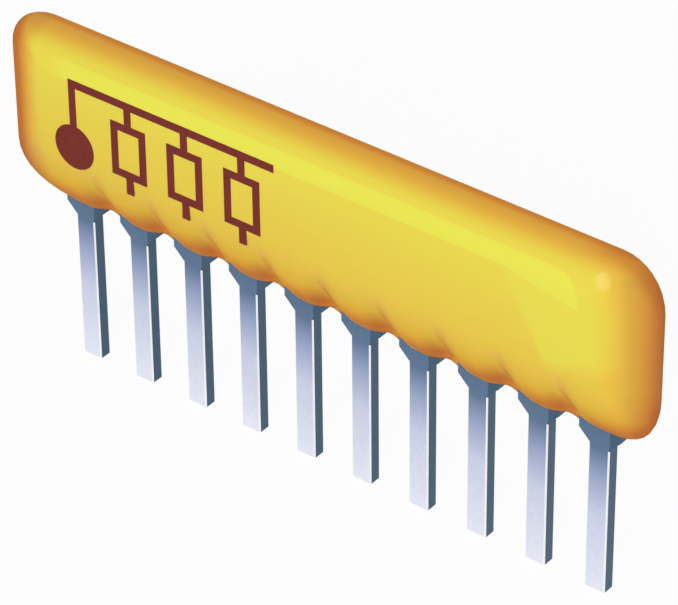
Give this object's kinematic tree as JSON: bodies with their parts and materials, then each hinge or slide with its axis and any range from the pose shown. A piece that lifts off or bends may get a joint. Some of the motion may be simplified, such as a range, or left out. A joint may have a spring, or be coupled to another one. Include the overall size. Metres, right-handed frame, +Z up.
{
  "type": "resistor network",
  "caption": "Single-in-line thick-film resistor network: a ceramic plate with clip-on leads in a dipped epoxy coating, for through-hole boards.",
  "frame": {"origin": "middle of the lead row at the board seat, where the leads' tapers reach their straight tails", "axes": "+X along the lead row from lead 1 to the last lead, -Y out of the marked face, +Z up from the board"},
  "size_m": [0.0278, 0.0024, 0.0144],
  "materials": {
    "epoxy_coating": "dipped epoxy powder coat, smooth and semi-gloss",
    "alumina": "fired, matt",
    "overglaze": "fired glass, glossy",
    "silver_print": "fired silver palladium print",
    "resistor_film": "fired ruthenium oxide film",
    "solder": "reflowed solder",
    "tinned_lead": "satin tin plate on copper alloy"
  },
  "bodies": {
    "root": {"coating": "epoxy_coating", "substrate": "alumina", "overglaze": "overglaze", "common_bus": "silver_print", "lead_1": "tinned_lead", "lead_2": "tinned_lead", "lead_3": "tinned_lead", "lead_4": "tinned_lead", "lead_5": "tinned_lead", "lead_6": "tinned_lead", "lead_7": "tinned_lead", "lead_8": "tinned_lead", "lead_9": "tinned_lead", "lead_10": "tinned_lead", "solder_1": "solder", "solder_2": "solder", "solder_3": "solder", "solder_4": "solder", "solder_5": "solder", "solder_6": "solder", "solder_7": "solder", "solder_8": "solder", "solder_9": "solder", "solder_10": "solder", "pad_2": "silver_print", "pad_3": "silver_print", "pad_4": "silver_print", "pad_5": "silver_print", "pad_6": "silver_print", "pad_7": "silver_print", "pad_8": "silver_print", "pad_9": "silver_print", "pad_10": "silver_print", "resistor_1": "resistor_film", "resistor_2": "resistor_film", "resistor_3": "resistor_film", "resistor_4": "resistor_film", "resistor_5": "resistor_film", "resistor_6": "resistor_film", "resistor_7": "resistor_film", "resistor_8": "resistor_film", "resistor_9": "resistor_film"}
  },
  "joints": []
}
